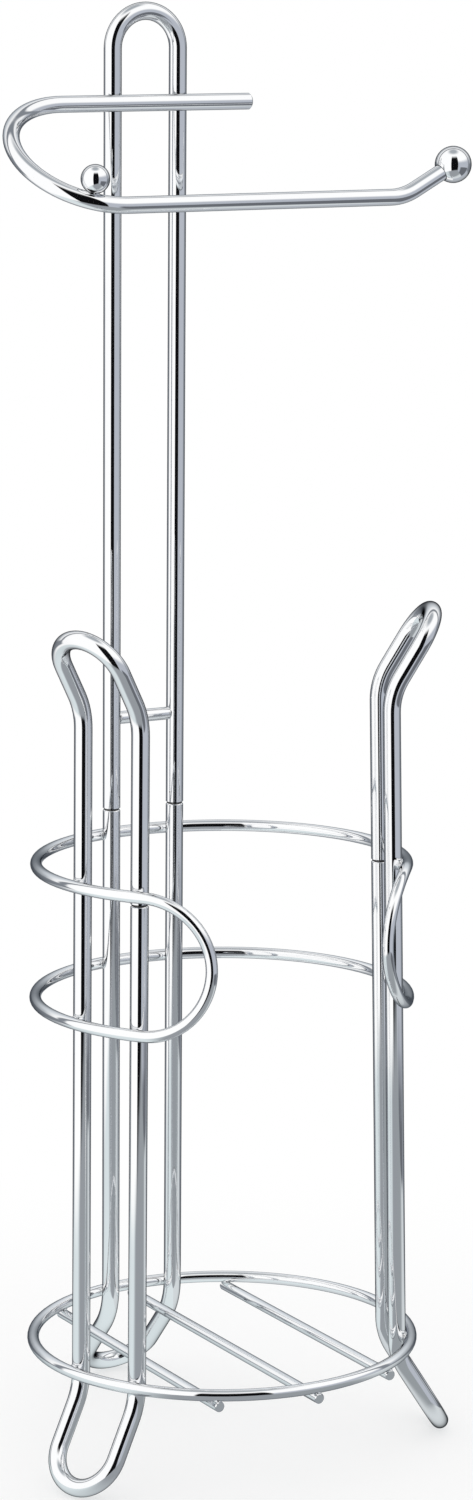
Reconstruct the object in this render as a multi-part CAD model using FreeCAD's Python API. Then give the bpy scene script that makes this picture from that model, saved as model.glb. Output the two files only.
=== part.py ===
import FreeCAD, Part
import math
import os

# Stock: chrome-plated steel tube, wire and balls
tube_diameter = 7.6
tube_wall = 0.8
arm_diameter = 7.0
ring_wire_diameter = 5.0
band_wire_diameter = 5.0
floor_rod_diameter = 4.5
crossbar_diameter = 5.5
end_ball_diameter = 15.6
stop_ball_diameter = 12.0

# Hairpin: two tubes side by side, closed by half-round turns
hairpin_spacing = 31.0
tube_bend_radius = 27.0

# Stance: three hairpin legs round a vertical axis, leaning in towards the top
leg_distance = 71.0
leg_distance_height = 218.0
leg_lean_angle = 0.85
rear_leg_angle = 90.0
side_leg_angle = 111.0
foot_corner_height = 38.0
foot_flare_angle = 32.0
rear_foot_flare_angle = 43.0
handle_corner_height = 326.0
handle_flare_angle = 31.0
handle_rise = 36.5
leg_seam_height = 249.0

# Stem: plugs on to the rear leg and carries the roll arm
stem_top_height = 610.0
stem_joint_height = 265.5
crossbar_rise = 40.0

# Basket: the ring sits just above the bend of the feet
base_ring_rise = 8.4
band_lower_height = 196.0
band_width = 57.5
band_end_angle = 148.0
floor_rod_pitch = 41.0
floor_rod_overhang = 2.0

# Roll arm: a bar across the stem, a half-round loop and the arm that the roll hangs on
bar_drop = 41.8
bar_end_x = 46.5
loop_centre_x = -43.0
arm_drop = 38.8
arm_y = 0.0
arm_rise_x = 87.5
arm_rise_angle = 28.0
arm_rise_bend_radius = 25.0
end_ball_reach = 24.4
end_ball_bore_depth = 9.0
stop_ball_angle = 23.0

# Joints and fits
joint_pin_length = 25.0
joint_slip_clearance = 0.05
joint_plug_clearance = 0.02
seam_gap = 0.3
weld_set_down = 0.3

# Cut ends
tube_end_chamfer = 0.5
pin_chamfer = 1.0
rod_end_chamfer = 0.4
bar_end_chamfer = 0.6

# Ends of two runs that lie closer than this are one point
same_point = 1e-6

UP = FreeCAD.Vector(0, 0, 1)
tube_radius = tube_diameter / 2
bore_radius = tube_radius - tube_wall
half_spacing = hairpin_spacing / 2
hairpin_radii = [tube_bend_radius, half_spacing, half_spacing, tube_bend_radius]
seam_side = 1
lean_slope = math.tan(math.radians(leg_lean_angle))
base_ring_height = foot_corner_height + base_ring_rise
band_upper_height = band_lower_height + band_width
crossbar_height = stem_joint_height + crossbar_rise
bar_height = stem_top_height - bar_drop
arm_height = bar_height - arm_drop
end_ball_x = arm_rise_x + end_ball_reach


def leg_line(height):
    """Distance of a leg's middle plane from the stand's axis at a height."""
    return leg_distance + lean_slope * (leg_distance_height - height)


def tube_circle(height, wire_diameter):
    """Radius of a ring that is welded to the outside of all the leg tubes at a height."""
    tube_distance = math.hypot(leg_line(height), half_spacing)
    return tube_distance + tube_radius + wire_diameter / 2 - weld_set_down


def leg_point(angle, out, side, height):
    """A point of the leg at this angle, on one of its two tubes (side is 1 or -1, 0 between them)."""
    turn = math.radians(angle)
    along = side * half_spacing
    return FreeCAD.Vector(out * math.cos(turn) - along * math.sin(turn),
                          out * math.sin(turn) + along * math.cos(turn),
                          height)


def bent_path(corners, radii):
    """Straight runs through the corner points, with a tangent arc of its own radius at each corner."""
    edges = []
    here = corners[0]
    for before, corner, after, radius in zip(corners, corners[1:], corners[2:], radii):
        back = (before - corner).normalize()
        ahead = (after - corner).normalize()
        half_turn = (math.pi - back.getAngle(ahead)) / 2
        setback = radius * math.tan(half_turn)
        first = corner + back * setback
        last = corner + ahead * setback
        inward = (back + ahead).normalize()
        middle = corner + inward * (radius / math.cos(half_turn) - radius)
        if (first - here).Length > same_point:
            edges.append(Part.LineSegment(here, first).toShape())
        edges.append(Part.Arc(first, middle, last).toShape())
        here = last
    if (corners[-1] - here).Length > same_point:
        edges.append(Part.LineSegment(here, corners[-1]).toShape())
    return Part.Wire(edges)


def sweep(path, radius):
    """A round bar along the path."""
    start = path.OrderedEdges[0]
    along = start.tangentAt(start.FirstParameter)
    ring = Part.makeCircle(radius, start.valueAt(start.FirstParameter), along)
    return path.makePipeShell([Part.Wire(ring)], True, False)


def bent_tube(path):
    """A tube along the path, with its two cut ends chamfered on the outside."""
    outer = sweep(path, tube_radius)
    outer = outer.makeChamfer(tube_end_chamfer, end_circles(outer, path))
    return outer.cut(sweep(path, bore_radius))


def end_circles(bar, path):
    """The edges round the two cut ends of a bar."""
    rims = [edge for edge in bar.Edges if edge.isClosed()]
    tips = [path.OrderedVertexes[0].Point, path.OrderedVertexes[-1].Point]
    return [min(rims, key=lambda rim: (rim.CenterOfMass - tip).Length) for tip in tips]


def round_bar(start, end, diameter, chamfer):
    """A straight bar with both ends chamfered."""
    axis = end - start
    bar = Part.makeCylinder(diameter / 2, axis.Length, start, axis)
    ends = [edge for edge in bar.Edges if isinstance(edge.Curve, Part.Circle)]
    return bar.makeChamfer(chamfer, ends)


def bed(piece, *carriers):
    """Seat a welded piece on what it crosses, so that the two meet face to face."""
    for carrier in carriers:
        piece = piece.cut(carrier)
    return piece


def export(name, shape):
    shape.exportStep("parts/" + name + ".step")
    print(name, len(shape.Solids), shape.isValid(), round(shape.Volume, 1))


# Corner points of a hairpin's foot and handle, in its own upright plane


def foot_corners(angle, flare, side):
    """The bend above a foot and the corner of its half-round turn, for one tube."""
    slope = math.radians(flare)
    knee = leg_point(angle, leg_line(foot_corner_height), side, foot_corner_height)
    drop = foot_corner_height - tube_radius
    toe_out = leg_line(foot_corner_height) + drop * math.tan(slope)
    toe = leg_point(angle, toe_out, side, tube_radius)
    return [knee, toe]


def handle_corners(angle, side):
    """The bend below a handle and the corner of its half-round turn, for one tube."""
    slope = math.radians(handle_flare_angle)
    neck = leg_point(angle, leg_line(handle_corner_height), side, handle_corner_height)
    tip_height = handle_corner_height + handle_rise - tube_radius
    tip_out = leg_line(handle_corner_height) + (tip_height - handle_corner_height) * math.tan(slope)
    tip = leg_point(angle, tip_out, side, tip_height)
    return [neck, tip]


def side_leg(angle):
    """A closed loop of one tube: foot, two uprights and handle, its ends meeting at one seam."""
    top_height = leg_seam_height + seam_gap / 2
    bottom_height = leg_seam_height - seam_gap / 2
    top = leg_point(angle, leg_line(top_height), seam_side, top_height)
    bottom = leg_point(angle, leg_line(bottom_height), seam_side, bottom_height)
    near_handle = handle_corners(angle, seam_side)
    far_handle = handle_corners(angle, -seam_side)
    near_foot = foot_corners(angle, foot_flare_angle, seam_side)
    far_foot = foot_corners(angle, foot_flare_angle, -seam_side)
    corners = [top] + near_handle + far_handle[::-1] + far_foot + near_foot[::-1] + [bottom]
    return bent_tube(bent_path(corners, hairpin_radii + hairpin_radii))


def joint_pin(angle, side, height, upper_clearance):
    """A pin inside a butt joint of two tubes: plugged into the lower one, slipped into the upper."""
    lower_radius = bore_radius - joint_plug_clearance
    upper_radius = bore_radius - upper_clearance
    foot = leg_point(angle, leg_line(height - joint_pin_length), side, height - joint_pin_length)
    middle = leg_point(angle, leg_line(height), side, height)
    head = leg_point(angle, leg_line(height + joint_pin_length), side, height + joint_pin_length)
    lower = Part.makeCylinder(lower_radius, (middle - foot).Length, foot, middle - foot)
    upper = Part.makeCylinder(upper_radius, (head - middle).Length, middle, head - middle)
    pin = lower.fuse(upper)
    tips = [edge for edge in pin.Edges if isinstance(edge.Curve, Part.Circle)
            and min((edge.CenterOfMass - foot).Length, (edge.CenterOfMass - head).Length) < pin_chamfer]
    return pin.makeChamfer(pin_chamfer, tips)


os.makedirs("parts", exist_ok=True)

left_leg_angle = rear_leg_angle + side_leg_angle
right_leg_angle = rear_leg_angle - side_leg_angle

# Side legs: two alike, each closed at its seam round a pin
left_leg = side_leg(left_leg_angle)
right_leg = side_leg(right_leg_angle)
left_seam_pin = joint_pin(left_leg_angle, seam_side, leg_seam_height, joint_plug_clearance)
right_seam_pin = joint_pin(right_leg_angle, seam_side, leg_seam_height, joint_plug_clearance)

# Rear leg: a foot with two open uprights, each holding a pin for the stem
rear_ends = [leg_point(rear_leg_angle, leg_line(stem_joint_height), side, stem_joint_height)
             for side in (1, -1)]
rear_feet = [foot_corners(rear_leg_angle, rear_foot_flare_angle, side) for side in (1, -1)]
rear_corners = [rear_ends[0]] + rear_feet[0] + rear_feet[1][::-1] + [rear_ends[1]]
rear_leg = bent_tube(bent_path(rear_corners, hairpin_radii))
stem_pin_left = joint_pin(rear_leg_angle, 1, stem_joint_height, joint_slip_clearance)
stem_pin_right = joint_pin(rear_leg_angle, -1, stem_joint_height, joint_slip_clearance)

# Stem hoop: one hairpin, open ends down over the pins
stem_bottom = stem_joint_height + seam_gap
stem_top = stem_top_height - tube_radius
stem_corners = [leg_point(rear_leg_angle, leg_line(height), side, height)
                for height, side in ((stem_bottom, 1), (stem_top, 1), (stem_top, -1), (stem_bottom, -1))]
stem_hoop = bent_tube(bent_path(stem_corners, [half_spacing, half_spacing]))

# Crossbar: a wire coped at both ends to the stem's tubes
crossbar_start = leg_point(rear_leg_angle, leg_line(crossbar_height), 1, crossbar_height)
crossbar_end = leg_point(rear_leg_angle, leg_line(crossbar_height), -1, crossbar_height)
crossbar_rod = Part.makeCylinder(crossbar_diameter / 2, hairpin_spacing, crossbar_start,
                                 crossbar_end - crossbar_start)
stem_core = sweep(bent_path(stem_corners, [half_spacing, half_spacing]), tube_radius)
stem_crossbar = crossbar_rod.cut(stem_core)

# Roll arm: the bar lies against the front of the stem
arm_radius = arm_diameter / 2
bar_y = leg_line(bar_height) - tube_radius - arm_radius + weld_set_down
loop_radius = math.hypot(bar_y - arm_y, bar_height - arm_height) / 2
loop_edge_x = loop_centre_x - loop_radius
rise = math.radians(arm_rise_angle)
end_ball_height = arm_height + (end_ball_x - arm_rise_x) * math.tan(rise)
end_ball_centre = FreeCAD.Vector(end_ball_x, arm_y, end_ball_height)
arm_ahead = FreeCAD.Vector(math.cos(rise), 0, math.sin(rise))
arm_tip = end_ball_centre - arm_ahead * (end_ball_diameter / 2 - end_ball_bore_depth)
arm_corners = [FreeCAD.Vector(bar_end_x, bar_y, bar_height),
               FreeCAD.Vector(loop_edge_x, bar_y, bar_height),
               FreeCAD.Vector(loop_edge_x, arm_y, arm_height),
               FreeCAD.Vector(arm_rise_x, arm_y, arm_height),
               arm_tip]
arm_path = bent_path(arm_corners, [loop_radius, loop_radius, arm_rise_bend_radius])
arm_bar = sweep(arm_path, arm_radius)
arm_bar = arm_bar.makeChamfer(bar_end_chamfer, end_circles(arm_bar, arm_path))
roll_arm = bed(arm_bar, stem_core)
arm_end_ball = Part.makeSphere(end_ball_diameter / 2, end_ball_centre).cut(arm_bar)

# Stop ball: sits on top of the loop, where the loop runs out into the arm
loop_centre = FreeCAD.Vector(loop_centre_x, (bar_y + arm_y) / 2, (bar_height + arm_height) / 2)
towards_arm = (FreeCAD.Vector(loop_centre_x, arm_y, arm_height) - loop_centre).normalize()
stop_turn = math.radians(stop_ball_angle)
stop_seat = loop_centre + (towards_arm * math.cos(stop_turn)
                           - FreeCAD.Vector(1, 0, 0) * math.sin(stop_turn)) * loop_radius
stop_lift = arm_radius + stop_ball_diameter / 2 - weld_set_down
arm_stop_ball = Part.makeSphere(stop_ball_diameter / 2, stop_seat + UP * stop_lift).cut(arm_bar)

# Base ring: welded round the outside of all six leg tubes
base_ring_radius = tube_circle(base_ring_height, ring_wire_diameter)
base_ring_whole = Part.makeTorus(base_ring_radius, ring_wire_diameter / 2,
                                 FreeCAD.Vector(0, 0, base_ring_height))
base_ring = bed(base_ring_whole, left_leg, right_leg, rear_leg)

# Floor rods: three straight wires across the underside of the ring
floor_rod_height = base_ring_height - ring_wire_diameter / 2 - floor_rod_diameter / 2 + weld_set_down


def floor_rod(x):
    reach = math.sqrt(base_ring_radius ** 2 - x ** 2) + floor_rod_overhang
    rod = round_bar(FreeCAD.Vector(x, -reach, floor_rod_height), FreeCAD.Vector(x, reach, floor_rod_height),
                    floor_rod_diameter, rod_end_chamfer)
    return bed(rod, base_ring_whole)


# Storage band: one wire in two arcs, joined in front of each side leg by a half-round end


def biarc(start, start_way, end, end_way):
    """Two tangent arcs from one point and direction to another."""
    span = end - start
    way = start_way + end_way
    spread = 2 * (1 - start_way.dot(end_way))
    reach = (math.sqrt(span.dot(way) ** 2 + spread * span.dot(span)) - span.dot(way)) / spread
    knots = [start, start + start_way * reach, end - end_way * reach, end]
    joint = (knots[1] + knots[2]) / 2
    return [rounded_corner(knots[0], knots[1], joint), rounded_corner(joint, knots[2], knots[3])]


def rounded_corner(start, corner, end):
    """The arc that touches both lines to the corner at its two ends."""
    weight = (end - start).Length / 2 / (corner - start).Length
    middle = (start + corner * (2 * weight) + end) / (2 * (1 + weight))
    return Part.Arc(start, middle, end).toShape()


band_upper_radius = tube_circle(band_upper_height, band_wire_diameter)
band_lower_radius = tube_circle(band_lower_height, band_wire_diameter)
band_middle_radius = (band_upper_radius + band_lower_radius) / 2
band_end_radius = (band_upper_height - band_lower_height) / 2
band_middle_height = (band_upper_height + band_lower_height) / 2
band_end_wrap = math.degrees(band_end_radius / band_middle_radius)
band_arc_turn = band_end_angle - band_end_wrap
band_end_steps = 4


def band_end_point(turn):
    """A point of the right end's half round, wrapped on the band's cone; turn runs from -90 to 90."""
    swing = math.radians(turn)
    height = band_middle_height - band_end_radius * math.sin(swing)
    share = (band_upper_height - height) / (band_upper_height - band_lower_height)
    radius = band_upper_radius + (band_lower_radius - band_upper_radius) * share
    angle = math.radians(rear_leg_angle - band_arc_turn - band_end_wrap * math.cos(swing))
    return FreeCAD.Vector(radius * math.cos(angle), radius * math.sin(angle), height)


def band_end_way(turn):
    """The direction of the half round at that point."""
    small_turn = 0.01
    return (band_end_point(turn + small_turn) - band_end_point(turn - small_turn)).normalize()


def band_arc(radius, height, first_turn, last_turn):
    """A level arc of the band, between two angles measured from the rear."""
    points = []
    for turn in (first_turn, (first_turn + last_turn) / 2, last_turn):
        angle = math.radians(rear_leg_angle - turn)
        points.append(FreeCAD.Vector(radius * math.cos(angle), radius * math.sin(angle), height))
    return Part.Arc(*points).toShape()


half_band_edges = [band_arc(band_upper_radius, band_upper_height, 0, band_arc_turn)]
turns = [-90 + 180 * step / band_end_steps for step in range(band_end_steps + 1)]
ways = [band_end_way(turn) for turn in turns]
level = math.radians(rear_leg_angle - band_arc_turn)
ways[0] = FreeCAD.Vector(math.sin(level), -math.cos(level), 0)
ways[-1] = ways[0] * -1
for first, last, first_way, last_way in zip(turns, turns[1:], ways, ways[1:]):
    half_band_edges += biarc(band_end_point(first), first_way, band_end_point(last), last_way)
half_band_edges.append(band_arc(band_lower_radius, band_lower_height, band_arc_turn, 0))
half_band = sweep(Part.Wire(half_band_edges), band_wire_diameter / 2)
other_half = half_band.mirror(FreeCAD.Vector(0, 0, 0), FreeCAD.Vector(1, 0, 0))
storage_band = bed(half_band.fuse(other_half).removeSplitter(), left_leg, right_leg, rear_leg)

export("base_ring", base_ring)
export("floor_rod_left", floor_rod(-floor_rod_pitch))
export("floor_rod_middle", floor_rod(0))
export("floor_rod_right", floor_rod(floor_rod_pitch))
export("storage_band", storage_band)
export("left_leg", left_leg)
export("right_leg", right_leg)
export("rear_leg", rear_leg)
export("left_leg_seam_pin", left_seam_pin)
export("right_leg_seam_pin", right_seam_pin)
export("stem_pin_left", stem_pin_left)
export("stem_pin_right", stem_pin_right)
export("stem_hoop", stem_hoop)
export("stem_crossbar", stem_crossbar)
export("roll_arm", roll_arm)
export("arm_end_ball", arm_end_ball)
export("arm_stop_ball", arm_stop_ball)
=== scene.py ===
import bpy
import math
from mathutils import Matrix, Vector


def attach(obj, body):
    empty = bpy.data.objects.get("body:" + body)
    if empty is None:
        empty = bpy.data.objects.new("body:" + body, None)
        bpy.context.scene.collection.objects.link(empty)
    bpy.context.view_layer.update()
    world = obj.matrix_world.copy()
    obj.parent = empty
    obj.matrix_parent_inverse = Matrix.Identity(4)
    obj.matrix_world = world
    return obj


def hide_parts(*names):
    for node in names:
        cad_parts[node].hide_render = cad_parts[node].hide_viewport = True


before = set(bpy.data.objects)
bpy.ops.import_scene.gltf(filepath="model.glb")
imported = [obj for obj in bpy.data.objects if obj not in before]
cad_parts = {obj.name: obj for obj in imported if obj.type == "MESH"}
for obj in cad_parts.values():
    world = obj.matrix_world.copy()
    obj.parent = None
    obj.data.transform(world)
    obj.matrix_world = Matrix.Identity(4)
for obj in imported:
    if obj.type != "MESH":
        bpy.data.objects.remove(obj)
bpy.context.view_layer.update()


# Side legs: two alike loops of chrome-plated steel tube, with a flared foot below and a flared handle above.
# Each is bent from one length on a tube bender, and its two ends meet over a hidden pin at a hairline seam.
UP = Vector((0, 0, 1))
tube_radius = 0.0038
bore_radius = 0.003
bore_depth = 0.026
tube_end_chamfer = 0.0005
half_spacing = 0.0155
tube_bend_radius = 0.027
leg_distance = 0.071
leg_distance_height = 0.218
lean_slope = math.tan(math.radians(0.85))
rear_leg_angle = 90
side_leg_angle = 111
foot_corner_height = 0.038
foot_flare_angle = 32
handle_corner_height = 0.326
handle_flare_angle = 31
handle_rise = 0.0365
leg_seam_height = 0.249
stem_joint_height = 0.2655
seam_gap = 0.0003
seam_side = 1
round_sides = 40
bend_step = math.radians(4)
same_point = 0.00002
crease_angle = math.radians(38)
bloom_scale = 11
bloom_detail = 2
bloom_range = (0.35, 0.7)
haze_scale = 38
haze_detail = 4
haze_range = (0.48, 0.78)
grain_scale = 2600
grain_detail = 2
grain_share = 0.003
ripple_detail = 1
mirror_roughness = 0.03
haze_roughness = 0.03
grain_roughness = 0.01
tube_ripple_scale = 45
tube_ripple_depth = 0.00006
chrome_warm = (0.93, 0.935, 0.945, 1)
chrome_cold = (0.955, 0.96, 0.965, 1)
# Painted shade: a near-black edge tint for the tubes and balls. It darkens the chrome at grazing angles into
# dark outlines.
tube_outline_shade = (0.02, 0.022, 0.026, 1)
# Painted shade: the cut rims that face down over each seam are darkened, so every joint shows as a dark
# line.
painted_rim_shade = (0.07, 0.07, 0.075, 1)
rim_roughness = 0.25
rim_reach = (0.00381, 0.00384)


def leg_line(height):
    """Distance of a leg's two tubes from the stand's axis at a height."""
    return leg_distance + lean_slope * (leg_distance_height - height)


def leg_point(angle, out, side, height):
    """A point of the leg at this angle; side 1 or -1 is one of its tubes, 0 is between them."""
    turn = math.radians(angle)
    outward = Vector((math.cos(turn), math.sin(turn), 0))
    sideways = Vector((-math.sin(turn), math.cos(turn), 0))
    return outward * out + sideways * (side * half_spacing) + Vector((0, 0, height))


def ring_of_points(name, centre, along, radius):
    """Starts a piece as a ring of points square to its length, and leaves it in edit mode."""
    bpy.ops.object.select_all(action="DESELECT")
    facing = along.to_track_quat("Z", "Y").to_euler()
    bpy.ops.mesh.primitive_circle_add(vertices=round_sides, radius=radius, location=centre, rotation=facing)
    piece = bpy.context.object
    piece.name = name
    bpy.ops.object.transform_apply(location=True, rotation=True, scale=True)
    bpy.ops.object.mode_set(mode="EDIT")
    bpy.ops.mesh.select_all(action="SELECT")
    return piece


def run(start, end, swell=1.0):
    """Draws the ring straight on from one centre to the next, and swells or narrows it there."""
    bpy.ops.mesh.extrude_region_move(TRANSFORM_OT_translate={"value": end - start})
    if swell != 1.0:
        bpy.ops.transform.resize(value=(swell, swell, swell), center_override=end)


def bend(centre, axis, turn):
    """Draws the ring round a bend; the spin tool counts its angle against the right-hand rule."""
    steps = max(math.ceil(turn / bend_step), 2)
    bpy.ops.mesh.spin(steps=steps, angle=-turn, center=centre, axis=axis)


def bend_at(first, corner, last):
    """Draws the ring round the arc that leaves one side of a corner at first and joins the other at last."""
    back = (first - corner).normalized()
    ahead = (last - corner).normalized()
    turn = math.pi - back.angle(ahead)
    radius = (first - corner).length / math.tan(turn / 2)
    centre = corner + (back + ahead).normalized() * (radius / math.cos(turn / 2))
    bend(centre, ahead.cross(back).normalized(), turn)


def follow(corners, radii):
    """Draws the ring through the corner points, with a bend of its own radius at each."""
    here = corners[0]
    for before, corner, after, radius in zip(corners, corners[1:], corners[2:], radii):
        back = (before - corner).normalized()
        ahead = (after - corner).normalized()
        setback = radius * math.tan((math.pi - back.angle(ahead)) / 2)
        first = corner + back * setback
        if (first - here).length > same_point:
            run(here, first)
        here = corner + ahead * setback
        bend_at(first, corner, here)
    run(here, corners[-1])


def close_piece():
    """Merges the points of a seam, fills open ends and leaves edit mode, smooth but for the cut edges."""
    bpy.ops.mesh.select_all(action="SELECT")
    bpy.ops.mesh.remove_doubles(threshold=same_point)
    bpy.ops.mesh.fill_holes(sides=0)
    bpy.ops.mesh.normals_make_consistent(inside=False)
    bpy.ops.object.mode_set(mode="OBJECT")
    bpy.ops.object.shade_smooth_by_angle(angle=crease_angle)


def bent_tube(name, corners, radii):
    """A tube through the corners, its two cut ends bored for a pin and chamfered on the outside."""
    first, last = corners[0], corners[-1]
    ahead = (corners[1] - first).normalized()
    back = (corners[-2] - last).normalized()
    lip_radius = tube_radius - tube_end_chamfer
    shoulder = first + ahead * tube_end_chamfer
    far_shoulder = last + back * tube_end_chamfer
    piece = ring_of_points(name, first + ahead * bore_depth, ahead, bore_radius)
    run(first + ahead * bore_depth, first)
    run(first, first, lip_radius / bore_radius)
    run(first, shoulder, tube_radius / lip_radius)
    follow([shoulder] + corners[1:-1] + [far_shoulder], radii)
    run(far_shoulder, last, lip_radius / tube_radius)
    run(last, last, bore_radius / lip_radius)
    run(last, last + back * bore_depth)
    close_piece()
    return piece


def copy_of(piece, name):
    """A copy of a piece with a mesh of its own, left selected."""
    bpy.ops.object.select_all(action="DESELECT")
    piece.select_set(True)
    bpy.context.view_layer.objects.active = piece
    bpy.ops.object.duplicate()
    bpy.context.object.name = name
    return bpy.context.object


def foot_corners(angle, flare, side):
    """The knee above a foot and the corner of its half-round toe, on one tube."""
    knee_out = leg_line(foot_corner_height)
    toe_out = knee_out + (foot_corner_height - tube_radius) * math.tan(math.radians(flare))
    knee = leg_point(angle, knee_out, side, foot_corner_height)
    return [knee, leg_point(angle, toe_out, side, tube_radius)]


def handle_corners(angle, side):
    """The neck below a handle and the corner of its half-round tip, on one tube."""
    neck_out = leg_line(handle_corner_height)
    tip_rise = handle_rise - tube_radius
    tip_out = neck_out + tip_rise * math.tan(math.radians(handle_flare_angle))
    neck = leg_point(angle, neck_out, side, handle_corner_height)
    return [neck, leg_point(angle, tip_out, side, handle_corner_height + tip_rise)]


class Shade:
    """A value in a node tree. Sums and products of such values add Math nodes to the tree."""

    def __init__(self, tree, socket=None):
        self.tree = tree
        self.socket = socket

    def node(self, kind, settings, inputs, output=0):
        """Adds a node: its settings first, then the values or links of its sockets."""
        made = self.tree.nodes.new(kind)
        for name, value in settings.items():
            setattr(made, name, value)
        for name, value in inputs.items():
            if isinstance(value, Shade):
                self.tree.links.new(value.socket, made.inputs[name])
            else:
                made.inputs[name].default_value = value
        return Shade(self.tree, made.outputs[output] if len(made.outputs) else None)

    def maths(self, operation, first, second):
        return self.node("ShaderNodeMath", {"operation": operation}, {0: first, 1: second})

    def __add__(self, other):
        return self.maths("ADD", self, other)

    def __sub__(self, other):
        return self.maths("SUBTRACT", self, other)

    def __rsub__(self, other):
        return self.maths("SUBTRACT", other, self)

    def __mul__(self, other):
        return self.maths("MULTIPLY", self, other)

    __radd__ = __add__
    __rmul__ = __mul__

    def rise(self, low, high):
        """0 below low, 1 above high and a smooth rise between them."""
        settings = {"interpolation_type": "SMOOTHSTEP"}
        return self.node("ShaderNodeMapRange", settings, {"Value": self, "From Min": low, "From Max": high})

    def between(self, first, second):
        """The first colour where this is 0, the second where it is 1."""
        return self.node("ShaderNodeMix", {"data_type": "RGBA"}, {0: self, 6: first, 7: second}, output=2)

    def speckle(self, place, scale, detail):
        """A cloudy pattern from 0 to 1, about 1 / scale metres across."""
        return self.node("ShaderNodeTexNoise", {}, {"Vector": place, "Scale": scale, "Detail": detail})

    def along(self, axis):
        """How far this vector reaches along an axis."""
        settings = {"operation": "DOT_PRODUCT"}
        return self.node("ShaderNodeVectorMath", settings, {0: self, 1: axis}, output="Value")


def new_finish(name):
    """An empty material and the place on the piece that its patterns read."""
    material = bpy.data.materials.new(name)
    material.use_nodes = True
    material.node_tree.nodes.clear()
    start = Shade(material.node_tree)
    return material, start, start.node("ShaderNodeTexCoord", {}, {}, output="Object")


def shaded_cut_rims(start, place, seams):
    """1 on the cut rims that face down over these seams, 0 elsewhere: the mask where shade is painted at the
    joints.
    """
    rims = 0
    for seam in seams:
        settings = {"operation": "DISTANCE"}
        away = start.node("ShaderNodeVectorMath", settings, {0: place, 1: seam}, output="Value")
        above = start.maths("GREATER_THAN", place.along(UP), seam.z)
        rims = rims + (1 - away.rise(*rim_reach)) * above
    return rims


def chrome_plate(name, ripple_scale, ripple_depth, edge, seams=()):
    """Bright chrome: a mirror with a little haze, over metal that ripples as its stock does, with painted
    shade on the cut rims that face down over any seams given.
    """
    material, start, place = new_finish(name)
    bloom = start.speckle(place, bloom_scale, bloom_detail).rise(*bloom_range)
    haze = start.speckle(place, haze_scale, haze_detail).rise(*haze_range)
    grain = start.speckle(place, grain_scale, grain_detail)
    ripple = start.speckle(place, ripple_scale, ripple_detail)
    height = ripple + grain * grain_share
    relief = start.node("ShaderNodeBump", {}, {"Strength": 1.0, "Distance": ripple_depth, "Height": height})
    colour = bloom.between(chrome_warm, chrome_cold)
    roughness = mirror_roughness + haze * haze_roughness + grain * grain_roughness
    # Painted shade: the cut rims that face down over the seams are darkened and dulled here.
    if seams:
        rims = shaded_cut_rims(start, place, seams)
        colour = rims.between(colour, painted_rim_shade)
        roughness = roughness + rims * rim_roughness
    surface = start.node("ShaderNodeBsdfPrincipled", {}, {
        "Base Color": colour,
        "Metallic": 1.0,
        # The edge tint is painted shade: it darkens the reflection at grazing angles and so draws dark
        # outlines.
        "Specular Tint": edge,
        "Roughness": roughness,
        "Normal": relief,
    })
    start.node("ShaderNodeOutputMaterial", {}, {"Surface": surface})
    return material


hairpin_radii = [tube_bend_radius, half_spacing, half_spacing, tube_bend_radius]
right_leg_angle = rear_leg_angle - side_leg_angle
left_leg_angle = rear_leg_angle + side_leg_angle

tube_seams = []
for angle, side, height in ((right_leg_angle, seam_side, leg_seam_height),
                            (left_leg_angle, seam_side, leg_seam_height),
                            (rear_leg_angle, 1, stem_joint_height),
                            (rear_leg_angle, -1, stem_joint_height)):
    tube_seams.append(leg_point(angle, leg_line(height), side, height))
tube_chrome = chrome_plate("tube_chrome", tube_ripple_scale, tube_ripple_depth, tube_outline_shade, tube_seams)

leg_corners = []
for height in (leg_seam_height + seam_gap / 2, leg_seam_height - seam_gap / 2):
    leg_corners.append(leg_point(right_leg_angle, leg_line(height), seam_side, height))
up_and_over = handle_corners(right_leg_angle, seam_side) + handle_corners(right_leg_angle, -seam_side)[::-1]
down_and_under = foot_corners(right_leg_angle, foot_flare_angle, -seam_side)
down_and_under += foot_corners(right_leg_angle, foot_flare_angle, seam_side)[::-1]
leg_corners[1:1] = up_and_over + down_and_under

right_leg = bent_tube("right_leg_tube", leg_corners, hairpin_radii + hairpin_radii)
right_leg.data.materials.append(tube_chrome)
left_leg = copy_of(right_leg, "left_leg_tube")
left_leg.rotation_euler.z = math.radians(left_leg_angle - right_leg_angle)
bpy.ops.object.transform_apply(location=True, rotation=True, scale=True)
for leg, leg_name in ((left_leg, "left_leg"), (right_leg, "right_leg")):
    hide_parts(leg_name)
    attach(leg, "base")


# Rear leg: a hairpin of the same tube with a longer flared foot, left open at the top of both uprights.
# Its cut ends hold the pins that the stem plugs on to.
rear_foot_flare_angle = 43

rear_ends = []
for side in (1, -1):
    rear_ends.append(leg_point(rear_leg_angle, leg_line(stem_joint_height), side, stem_joint_height))
rear_foot = foot_corners(rear_leg_angle, rear_foot_flare_angle, 1)
rear_foot += foot_corners(rear_leg_angle, rear_foot_flare_angle, -1)[::-1]
rear_leg = bent_tube("rear_leg_tube", [rear_ends[0]] + rear_foot + [rear_ends[1]], hairpin_radii)
rear_leg.data.materials.append(tube_chrome)
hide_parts("rear_leg")
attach(rear_leg, "base")


# Joint pins: short turned steel pins without plating, inside the seams of the side legs and the stem.
# They are pressed into the lower tube, and show only where the stem is lifted off.
turning_marks_scale = 900
turning_marks_depth = 0.00003
turning_marks_strength = 0.4
turning_marks_waver = 0.4
oil_film_scale = 160
oil_film_detail = 4
oil_film_range = (0.4, 0.7)
steel_roughness = 0.24
oil_roughness = 0.18
marks_roughness = 0.05
steel_bright = (0.30, 0.295, 0.285, 1)
steel_oiled = (0.15, 0.145, 0.14, 1)


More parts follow.
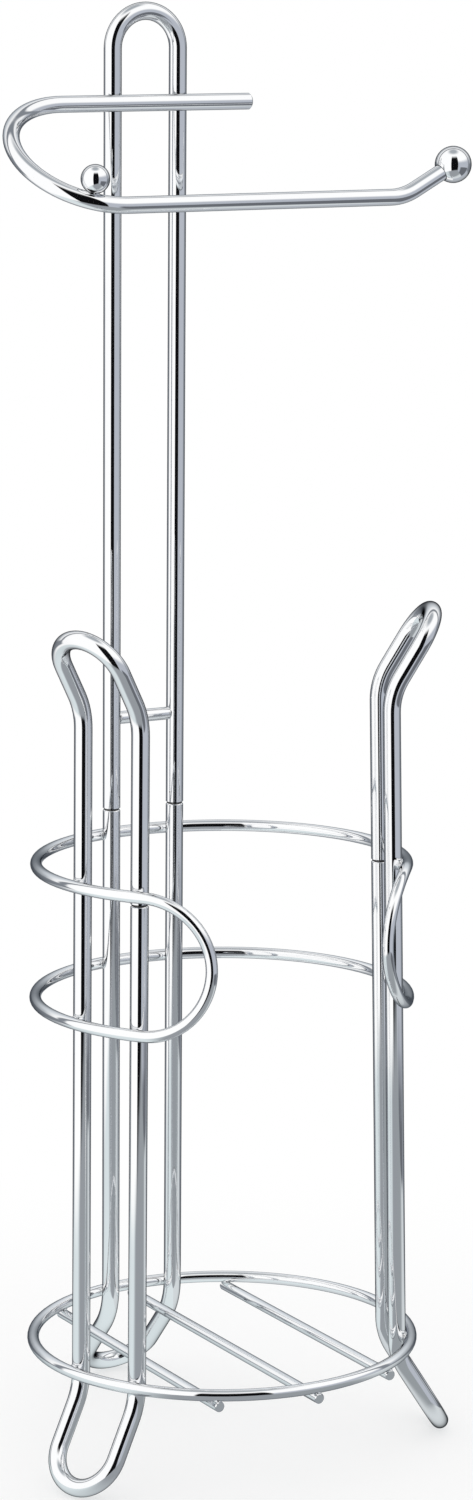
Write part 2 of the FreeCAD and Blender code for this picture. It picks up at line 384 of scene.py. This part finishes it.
def turned_steel(name):
    """Grey steel from a lathe, with fine rings round the pin and a film of dull oil."""
    material, start, place = new_finish(name)
    rings = start.node("ShaderNodeTexWave", {"wave_type": "BANDS", "bands_direction": "Z"},
                       {"Vector": place, "Scale": turning_marks_scale,
                        "Distortion": turning_marks_waver})
    film = start.speckle(place, oil_film_scale, oil_film_detail).rise(*oil_film_range)
    relief = start.node("ShaderNodeBump", {}, {"Strength": turning_marks_strength,
                                               "Distance": turning_marks_depth, "Height": rings})
    surface = start.node("ShaderNodeBsdfPrincipled", {}, {
        "Base Color": film.between(steel_bright, steel_oiled),
        "Metallic": 1.0,
        "Roughness": steel_roughness + film * oil_roughness + rings * marks_roughness,
        "Normal": relief,
    })
    start.node("ShaderNodeOutputMaterial", {}, {"Surface": surface})
    return material


pin_steel = turned_steel("pin_steel")
for pin_name in ("left_leg_seam_pin", "right_leg_seam_pin", "stem_pin_left", "stem_pin_right"):
    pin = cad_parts[pin_name]
    pin.data.materials.clear()
    pin.data.materials.append(pin_steel)


# Base ring: a closed ring of chrome-plated round wire under the rolls, its ends butt-welded at the back.
# It is welded round the outside of the six leg tubes, with a small bead squeezed out at each crossing.
ring_wire_radius = 0.0025
base_ring_height = 0.0464
weld_set_down = 0.0003
butt_turn = math.radians(1.2)
butt_swell = 1.05
bead_size = (0.0031, 0.0026, 0.0011)
bead_lumps = 0.08
bead_seed = 4
bead_fineness = 3
bead_smoothing = 0.5
bead_smoothing_passes = 2
wire_ripple_scale = 60
wire_ripple_depth = 0.00004
# Painted shade: a grey edge tint that draws fainter dark outlines along the wires.
wire_outline_shade = (0.25, 0.265, 0.285, 1)
lump_turn = math.radians(137.5)


def tube_circle(height, wire_radius):
    """Radius of a ring that is welded to the outside of all the leg tubes at a height."""
    return math.hypot(leg_line(height), half_spacing) + tube_radius + wire_radius - weld_set_down


def ring_place(radius, turn, height):
    return Vector((radius * math.cos(turn), radius * math.sin(turn), height))


def lumpy_bead():
    """A lumpy bead of weld metal with a radius of one, to be copied and sized."""
    bpy.ops.object.select_all(action="DESELECT")
    bpy.ops.mesh.primitive_ico_sphere_add(subdivisions=bead_fineness, radius=1)
    bpy.ops.object.mode_set(mode="EDIT")
    bpy.ops.mesh.select_all(action="SELECT")
    bpy.ops.transform.vertex_random(offset=bead_lumps, normal=1.0, seed=bead_seed)
    bpy.ops.mesh.vertices_smooth(factor=bead_smoothing, repeat=bead_smoothing_passes)
    bpy.ops.mesh.normals_make_consistent(inside=False)
    bpy.ops.object.mode_set(mode="OBJECT")
    bpy.ops.object.shade_smooth()
    return bpy.context.object


def weld_bead(beads, centre, along_wire, outward, size):
    """Adds a copy of the bead, squeezed flat where a wire crosses a tube, its lumps turned each time."""
    bead = copy_of(bead_pattern, "bead")
    bead.rotation_euler.z = lump_turn * len(beads)
    bpy.ops.object.transform_apply(location=True, rotation=True, scale=True)
    bead.rotation_euler = Matrix((along_wire, outward.cross(along_wire), outward)).transposed().to_euler()
    bead.location = centre
    bead.scale = size
    bpy.ops.object.transform_apply(location=True, rotation=True, scale=True)
    beads.append(bead)


def ring_beads(height):
    """A bead at each of the six leg tubes that a level ring crosses at this height."""
    beads = []
    for angle in (rear_leg_angle, left_leg_angle, right_leg_angle):
        for side in (1, -1):
            tube = leg_point(angle, leg_line(height), side, 0)
            outward = tube.normalized()
            centre = tube + outward * (tube_radius - weld_set_down / 2) + UP * height
            weld_bead(beads, centre, UP.cross(outward), outward, bead_size)
    return beads


def join_beads(name, beads):
    """Makes one piece of all the beads of a wire."""
    bpy.ops.object.select_all(action="DESELECT")
    for bead in beads:
        bead.select_set(True)
    bpy.context.view_layer.objects.active = beads[0]
    bpy.ops.object.join()
    beads[0].name = name
    return beads[0]


wire_chrome = chrome_plate("wire_chrome", wire_ripple_scale, wire_ripple_depth, wire_outline_shade)
bead_pattern = lumpy_bead()
bead_pattern.data.materials.append(wire_chrome)
base_ring_radius = tube_circle(base_ring_height, ring_wire_radius)
ring_middle = UP * base_ring_height
rear_turn = math.radians(rear_leg_angle)
ring_start = ring_place(base_ring_radius, rear_turn + butt_turn, base_ring_height)
butt_middle = ring_place(base_ring_radius, rear_turn, base_ring_height)

base_ring = ring_of_points("base_ring_wire", ring_start, UP.cross(ring_start).normalized(), ring_wire_radius)
bend(ring_middle, UP, 2 * math.pi - 2 * butt_turn)
bend(ring_middle, UP, butt_turn)
bpy.ops.transform.resize(value=(butt_swell, butt_swell, butt_swell), center_override=butt_middle)
bend(ring_middle, UP, butt_turn)
bpy.ops.transform.resize(value=(1 / butt_swell, 1 / butt_swell, 1 / butt_swell), center_override=ring_start)
close_piece()
base_ring.data.materials.append(wire_chrome)
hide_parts("base_ring")
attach(base_ring, "base")

base_ring_welds = join_beads("base_ring_welds", ring_beads(base_ring_height))
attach(base_ring_welds, "base")


# Floor rods: three straight chrome-plated wires that the rolls stand on, sheared square at both ends.
# They lie under the base ring from front to back, and are welded to it where they cross.
rod_radius = 0.00225
rod_pitch = 0.041
rod_overhang = 0.002
rod_end_chamfer = 0.0004
rod_bead_size = (0.0021, 0.0019, 0.0008)
rod_height = base_ring_height - ring_wire_radius - rod_radius + weld_set_down


def solid_bar(name, corners, radii, radius, chamfer):
    """A solid bar through the corners, its two cut ends chamfered."""
    first, last = corners[0], corners[-1]
    ahead = (corners[1] - first).normalized()
    back = (corners[-2] - last).normalized()
    lip_radius = radius - chamfer
    shoulder = first + ahead * chamfer
    far_shoulder = last + back * chamfer
    piece = ring_of_points(name, first, ahead, lip_radius)
    run(first, shoulder, radius / lip_radius)
    follow([shoulder] + corners[1:-1] + [far_shoulder], radii)
    run(far_shoulder, last, lip_radius / radius)
    close_piece()
    piece.data.materials.append(wire_chrome)
    return piece


def floor_rod(name, x, crossing_y):
    """A rod at this place across the basket, long enough to cross the ring at both ends."""
    reach = crossing_y + rod_overhang
    rod_ends = [Vector((x, -reach, rod_height)), Vector((x, reach, rod_height))]
    return solid_bar(name, rod_ends, [], rod_radius, rod_end_chamfer)


side_crossing = math.sqrt(base_ring_radius ** 2 - rod_pitch ** 2)
middle_rod = floor_rod("floor_rod_middle_wire", 0, base_ring_radius)
left_rod = floor_rod("floor_rod_left_wire", -rod_pitch, side_crossing)
right_rod = copy_of(left_rod, "floor_rod_right_wire")
right_rod.location.x = 2 * rod_pitch
bpy.ops.object.transform_apply(location=True, rotation=True, scale=True)
for rod, rod_name in ((left_rod, "left"), (middle_rod, "middle"), (right_rod, "right")):
    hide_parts("floor_rod_" + rod_name)
    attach(rod, "base")

rod_beads = []
for x, crossing_y in ((-rod_pitch, side_crossing), (0, base_ring_radius), (rod_pitch, side_crossing)):
    for y in (-crossing_y, crossing_y):
        touch = Vector((x, y, rod_height + rod_radius))
        weld_bead(rod_beads, touch, Vector((0, 1, 0)), UP, rod_bead_size)
floor_rod_welds = join_beads("floor_rod_welds", rod_beads)
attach(floor_rod_welds, "base")


# Storage band: one closed chrome-plated wire that keeps the stacked rolls in, two level arcs round the back.
# In front of each side leg a half-round end joins them, wrapped to the basket's curve.
# Both arcs are welded to all six leg tubes.
band_wire_radius = 0.0025
band_lower_height = 0.196
band_upper_height = 0.2535
band_end_angle = 148
band_end_steps = 4
small_swing = 0.0002
band_upper_radius = tube_circle(band_upper_height, band_wire_radius)
band_lower_radius = tube_circle(band_lower_height, band_wire_radius)
band_end_radius = (band_upper_height - band_lower_height) / 2
band_middle_height = (band_upper_height + band_lower_height) / 2
band_end_wrap = 2 * band_end_radius / (band_upper_radius + band_lower_radius)
band_arc_turn = math.radians(band_end_angle) - band_end_wrap


def band_end_point(swing):
    """A point of the right end's half round; swing runs from -90 degrees, its top, to 90, its foot."""
    height = band_middle_height - band_end_radius * math.sin(swing)
    share = (band_upper_height - height) / (band_upper_height - band_lower_height)
    radius = band_upper_radius + (band_lower_radius - band_upper_radius) * share
    return ring_place(radius, rear_turn - band_arc_turn - band_end_wrap * math.cos(swing), height)


def band_end_way(swing):
    """The direction of the half round at that point."""
    return (band_end_point(swing + small_swing) - band_end_point(swing - small_swing)).normalized()


def two_arcs(start, start_way, end, end_way):
    """Draws the ring round two tangent arcs from one point and direction to another."""
    span = end - start
    way = start_way + end_way
    spread = 2 * (1 - start_way.dot(end_way))
    reach = (math.sqrt(span.dot(way) ** 2 + spread * span.dot(span)) - span.dot(way)) / spread
    first_corner = start + start_way * reach
    last_corner = end - end_way * reach
    joint = (first_corner + last_corner) / 2
    bend_at(start, first_corner, joint)
    bend_at(joint, last_corner, end)


def band_end(points, ways):
    """Draws the ring round one half-round end of the band."""
    for start, start_way, end, end_way in zip(points, ways, points[1:], ways[1:]):
        two_arcs(start, start_way, end, end_way)


def across(vector):
    """The same point or direction on the other side of the stand."""
    return Vector((-vector.x, vector.y, vector.z))


swings = [math.pi * (step / band_end_steps - 0.5) for step in range(band_end_steps + 1)]
end_points = [band_end_point(swing) for swing in swings]
level_way = (end_points[0] - UP * band_upper_height).cross(UP).normalized()
end_ways = [level_way] + [band_end_way(swing) for swing in swings[1:-1]] + [-level_way]
upper_middle = UP * band_upper_height
lower_middle = UP * band_lower_height
band_start = ring_place(band_upper_radius, rear_turn, band_upper_height)

storage_band = ring_of_points("storage_band_wire", band_start, Vector((1, 0, 0)), band_wire_radius)
bend(upper_middle, -UP, band_arc_turn)
band_end(end_points, end_ways)
bend(lower_middle, UP, 2 * band_arc_turn)
band_end([across(point) for point in end_points[::-1]], [-across(way) for way in end_ways[::-1]])
bend(upper_middle, -UP, band_arc_turn)
close_piece()
storage_band.data.materials.append(wire_chrome)
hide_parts("storage_band")
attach(storage_band, "base")

band_beads = ring_beads(band_upper_height) + ring_beads(band_lower_height)
storage_band_welds = join_beads("storage_band_welds", band_beads)
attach(storage_band_welds, "base")


# Stem: a tall hairpin of the same tube, its open ends down over the pins of the rear leg.
# A short wire, coped to the tubes and welded between them, holds them at their distance.
stem_top_height = 0.61
crossbar_height = 0.3055
crossbar_radius = 0.00275
cope_depth = 0.0006
stem_bottom = stem_joint_height + seam_gap
stem_crown = stem_top_height - tube_radius

stem_corners = []
for height, side in ((stem_bottom, 1), (stem_crown, 1), (stem_crown, -1), (stem_bottom, -1)):
    stem_corners.append(leg_point(rear_leg_angle, leg_line(height), side, height))
stem_hoop = bent_tube("stem_hoop_tube", stem_corners, [half_spacing, half_spacing])
stem_hoop.data.materials.append(tube_chrome)
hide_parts("stem_hoop")
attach(stem_hoop, "stem")

crossbar_reach = half_spacing - tube_radius + cope_depth
crossbar_y = leg_line(crossbar_height)
crossbar_ends = [Vector((x, crossbar_y, crossbar_height)) for x in (-crossbar_reach, crossbar_reach)]
crossbar = solid_bar("stem_crossbar_wire", crossbar_ends, [], crossbar_radius, cope_depth / 2)
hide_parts("stem_crossbar")
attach(crossbar, "stem")


# Roll arm: one chrome-plated bar that lies across the stem's front, loops round to the left and runs back.
# It is welded to both tubes of the stem, and its tip is bent up to hold the roll.
arm_radius = 0.0035
arm_end_chamfer = 0.0006
bar_height = 0.5682
bar_end_x = 0.0465
loop_centre_x = -0.043
arm_height = 0.5294
arm_y = 0
arm_rise_x = 0.0875
arm_rise_angle = math.radians(28)
arm_rise_bend_radius = 0.025
end_ball_reach = 0.0244
end_ball_radius = 0.0078
end_ball_bore_depth = 0.009

bar_y = leg_line(bar_height) - tube_radius - arm_radius + weld_set_down
loop_radius = math.hypot(bar_y - arm_y, bar_height - arm_height) / 2
loop_edge_x = loop_centre_x - loop_radius
arm_way = Vector((math.cos(arm_rise_angle), 0, math.sin(arm_rise_angle)))
end_ball_rise = end_ball_reach * math.tan(arm_rise_angle)
end_ball_centre = Vector((arm_rise_x + end_ball_reach, arm_y, arm_height + end_ball_rise))
arm_tip = end_ball_centre - arm_way * (end_ball_radius - end_ball_bore_depth)
arm_corners = [Vector((bar_end_x, bar_y, bar_height)), Vector((loop_edge_x, bar_y, bar_height)),
               Vector((loop_edge_x, arm_y, arm_height)), Vector((arm_rise_x, arm_y, arm_height)), arm_tip]
arm_radii = [loop_radius, loop_radius, arm_rise_bend_radius]
roll_arm = solid_bar("roll_arm_bar", arm_corners, arm_radii, arm_radius, arm_end_chamfer)
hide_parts("roll_arm")
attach(roll_arm, "stem")

stem_beads = []
for side in (1, -1):
    tube = leg_point(rear_leg_angle, leg_line(bar_height), side, bar_height)
    touch = tube - Vector((0, tube_radius, 0))
    weld_bead(stem_beads, touch, Vector((1, 0, 0)), Vector((0, -1, 0)), bead_size)
    coped_end = Vector((side * (half_spacing - tube_radius), crossbar_y, crossbar_height))
    weld_bead(stem_beads, coped_end, Vector((0, 1, 0)), Vector((1, 0, 0)), bead_size)
stem_welds = join_beads("stem_welds", stem_beads)
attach(stem_welds, "stem")
bpy.data.objects.remove(bead_pattern)


# End ball and stop ball: polished chrome-plated steel balls that keep the roll on its arm.
# The end ball is bored and pressed on to the arm's tip; the stop ball stands on the loop on a weld foot.
stop_ball_radius = 0.006
stop_ball_angle = math.radians(23)
ball_slices = 64
ball_rings = 44
bore_rim_angle = math.radians(29)
bore_sink = 0.004
foot_rim_angle = math.radians(15)
foot_height = 0.0007
ball_ripple_scale = 90
ball_ripple_depth = 0.00001


def ball(name, centre, radius, pole):
    """A ball whose pole points this way."""
    bpy.ops.object.select_all(action="DESELECT")
    facing = pole.to_track_quat("Z", "Y").to_euler()
    bpy.ops.mesh.primitive_uv_sphere_add(segments=ball_slices, ring_count=ball_rings, radius=radius,
                                         location=centre, rotation=facing)
    piece = bpy.context.object
    piece.name = name
    bpy.ops.object.transform_apply(location=True, rotation=True, scale=True)
    return piece


def press_cap(piece, centre, pole, rim_angle, move):
    """Moves the cap round the ball's pole in or out, with a wall from its rim, and finishes the ball."""
    bpy.ops.object.mode_set(mode="EDIT")
    bpy.ops.mesh.select_all(action="DESELECT")
    bpy.ops.mesh.select_mode(type="FACE")
    bpy.ops.object.mode_set(mode="OBJECT")
    for face in piece.data.polygons:
        face.select = (face.center - centre).angle(pole) < rim_angle
    bpy.ops.object.mode_set(mode="EDIT")
    bpy.ops.mesh.extrude_region_move(TRANSFORM_OT_translate={"value": move})
    bpy.ops.mesh.select_mode(type="VERT")
    close_piece()
    piece.data.materials.append(ball_chrome)


ball_chrome = chrome_plate("ball_chrome", ball_ripple_scale, ball_ripple_depth, tube_outline_shade)

end_ball = ball("arm_end_ball_polished", end_ball_centre, end_ball_radius, -arm_way)
press_cap(end_ball, end_ball_centre, -arm_way, bore_rim_angle, arm_way * bore_sink)
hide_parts("arm_end_ball")
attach(end_ball, "stem")

loop_centre = Vector((loop_centre_x, (bar_y + arm_y) / 2, (bar_height + arm_height) / 2))
towards_arm = (Vector((loop_centre_x, arm_y, arm_height)) - loop_centre).normalized()
stop_way = towards_arm * math.cos(stop_ball_angle) - Vector((1, 0, 0)) * math.sin(stop_ball_angle)
stop_ball_rise = arm_radius + stop_ball_radius - weld_set_down
stop_ball_centre = loop_centre + stop_way * loop_radius + UP * stop_ball_rise
stop_ball = ball("arm_stop_ball_polished", stop_ball_centre, stop_ball_radius, -UP)
press_cap(stop_ball, stop_ball_centre, -UP, foot_rim_angle, -UP * foot_height)
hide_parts("arm_stop_ball")
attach(stop_ball, "stem")


# Studio: a round white table in front of a white ground, with a large soft light at the left and a dimmer
# blue-grey wall with a dark skirting at the right. A dark gap is left where the camera stands, and dark
# flags stand beside the ground.
camera_place = Vector((-0.85321, -1.53433, 0.62305))
camera_heading = math.radians(29.281)
camera_pitch = math.radians(-10.383)
camera_lens = 102.18
camera_sensor = 36

looking = Vector((math.sin(camera_heading) * math.cos(camera_pitch),
                  math.cos(camera_heading) * math.cos(camera_pitch),
                  math.sin(camera_pitch)))
ahead = Vector((math.sin(camera_heading), math.cos(camera_heading), 0))
right = Vector((math.cos(camera_heading), -math.sin(camera_heading), 0))
bpy.ops.object.camera_add(location=camera_place, rotation=looking.to_track_quat("-Z", "Y").to_euler())
camera = bpy.context.object
camera.data.lens = camera_lens
camera.data.sensor_width = camera_sensor
bpy.context.scene.camera = camera
bpy.context.scene.view_settings.view_transform = "Standard"

# The table fades into the ground for the camera; the chrome sees its shaded middle and past its rim.
table_radius = 1.2
table_sides = 128
table_drop = 0.0002
table_glow = 0.5
camera_fade = (0.14, 0.42)
near_rim = (0.58, 0.82)
near_rim_skew = 0.4
right_rim = (0.47, 0.52)
back_rim = (0.10, 0.14)
left_part = (-48, -18)
right_part = (10, 48)
far_right_part = (60, 88)
paper_white = (0.96, 0.96, 0.96, 1)
ground_white = (1, 1, 1, 1)
left_shade = (0.72, 0.79, 0.81, 1)
middle_shade = (0.31, 0.33, 0.355, 1)
right_shade = (0.31, 0.335, 0.355, 1)
far_right_shade = (0.66, 0.7, 0.72, 1)

bpy.ops.object.select_all(action="DESELECT")
bpy.ops.mesh.primitive_circle_add(vertices=table_sides, radius=table_radius, fill_type="NGON",
                                  location=(0, 0, -table_drop))
table = bpy.context.object
table.name = "table_top"

table_paint, start, place = new_finish("table_paint")
distance = start.node("ShaderNodeVectorMath", {"operation": "LENGTH"}, {0: place}, output="Value")
to_camera = start.node("ShaderNodeLightPath", {}, {}, output="Is Camera Ray")
to_chrome = start.node("ShaderNodeLightPath", {}, {}, output="Is Glossy Ray")
paper = start.node("ShaderNodeBsdfDiffuse", {}, {"Color": paper_white})
ground = start.node("ShaderNodeEmission", {}, {"Color": ground_white, "Strength": 1.0})
fade = (table_glow + distance.rise(*camera_fade) * (1 - table_glow)) * to_camera
seen_top = start.node("ShaderNodeMixShader", {}, {0: fade, 1: paper, 2: ground})
table_turn = start.maths("ARCTAN2", place.along(right), place.along(-ahead)) * math.degrees(1)
shade = table_turn.rise(*left_part).between(left_shade, middle_shade)
shade = table_turn.rise(*right_part).between(shade, right_shade)
shade = table_turn.rise(*far_right_part).between(shade, far_right_shade)
shaded = start.node("ShaderNodeEmission", {}, {"Color": shade, "Strength": 1.0})
past_rim = start.node("ShaderNodeBsdfTransparent", {}, {})
inside = 1 - (distance - place.along(right) * near_rim_skew).rise(*near_rim)
inside = inside * (1 - place.along(right).rise(*right_rim)) * (1 - place.along(ahead).rise(*back_rim))
mirrored_top = start.node("ShaderNodeMixShader", {}, {0: inside, 1: past_rim, 2: shaded})
top = start.node("ShaderNodeMixShader", {}, {0: to_chrome, 1: seen_top, 2: mirrored_top})
start.node("ShaderNodeOutputMaterial", {}, {"Surface": top})
table.data.materials.append(table_paint)

# What the chrome sees round the table. The angles are in degrees, round to the right of the camera, up from
# level, or away from the line to the camera.
light_white = (1.05, 1.05, 1.05, 1)
wall_blue = (0.47, 0.50, 0.56, 1)
ceiling_grey = (0.40, 0.43, 0.46, 1)
gap_black = (0.004, 0.004, 0.005, 1)
back_grey = (0.52, 0.55, 0.58, 1)
back_light = (0.82, 0.86, 0.90, 1)
back_top = (8, 28)
flag_dark = (0.24, 0.26, 0.29, 1)
skirting_dark = (0.14, 0.15, 0.17, 1)
wall_start = (26, 31)
wall_top = (8, 28)
ceiling_start = (60, 80)
gap_middle = 7
gap_edge = (21, 23.5)
gap_top = (38, 60)
back_start = (112, 130)
level = (-2, 8)
high_flag_start = (101, 105)
high_flag_end = (109, 114)
low_flag_start = (102, 108)
low_flag_end = (164, 174)
low_flag_foot = (-28, -20)
skirting_start = (40, 50)
skirting_end = (96, 104)
skirting_top = (-14.6, -13.2)

studio = bpy.data.worlds.new("studio")
bpy.context.scene.world = studio
studio.use_nodes = True
studio.node_tree.nodes.clear()
sky = Shade(studio.node_tree)
direction = sky.node("ShaderNodeTexCoord", {}, {}, output="Generated")
round_turn = sky.maths("ARCTAN2", direction.along(right), direction.along(-ahead)) * math.degrees(1)
lift = sky.maths("ARCSINE", direction.along(UP), 0.0) * math.degrees(1)
off_camera = sky.maths("ARCCOSINE", direction.along(-looking), 0.0) * math.degrees(1)
off_gap = sky.maths("ABSOLUTE", round_turn - gap_middle, 0.0)

wall = round_turn.rise(*wall_start) * (1 - lift.rise(*wall_top))
light = wall.between(light_white, wall_blue)
light = lift.rise(*ceiling_start).between(light, ceiling_grey)
gap = (1 - off_gap.rise(*gap_edge)) * (1 - lift.rise(*gap_top))
light = gap.between(light, gap_black)
back = lift.rise(*back_top).between(back_grey, back_light)
light = off_camera.rise(*back_start).between(light, back)
skirting = round_turn.rise(*skirting_start) * (1 - round_turn.rise(*skirting_end))
skirting = skirting * (1 - lift.rise(*skirting_top))
light = skirting.between(light, skirting_dark)
high_flags = off_camera.rise(*high_flag_start) * (1 - off_camera.rise(*high_flag_end)) * lift.rise(*level)
low_flags = off_camera.rise(*low_flag_start) * (1 - off_camera.rise(*low_flag_end)) * (1 - lift.rise(*level))
flags = high_flags + low_flags * lift.rise(*low_flag_foot)
light = flags.between(light, flag_dark)
glossy = sky.node("ShaderNodeLightPath", {}, {}, output="Is Glossy Ray")
surroundings = glossy.between(ground_white, light)
backdrop = sky.node("ShaderNodeBackground", {}, {"Color": surroundings, "Strength": 1.0})
sky.node("ShaderNodeOutputWorld", {}, {"Surface": backdrop})
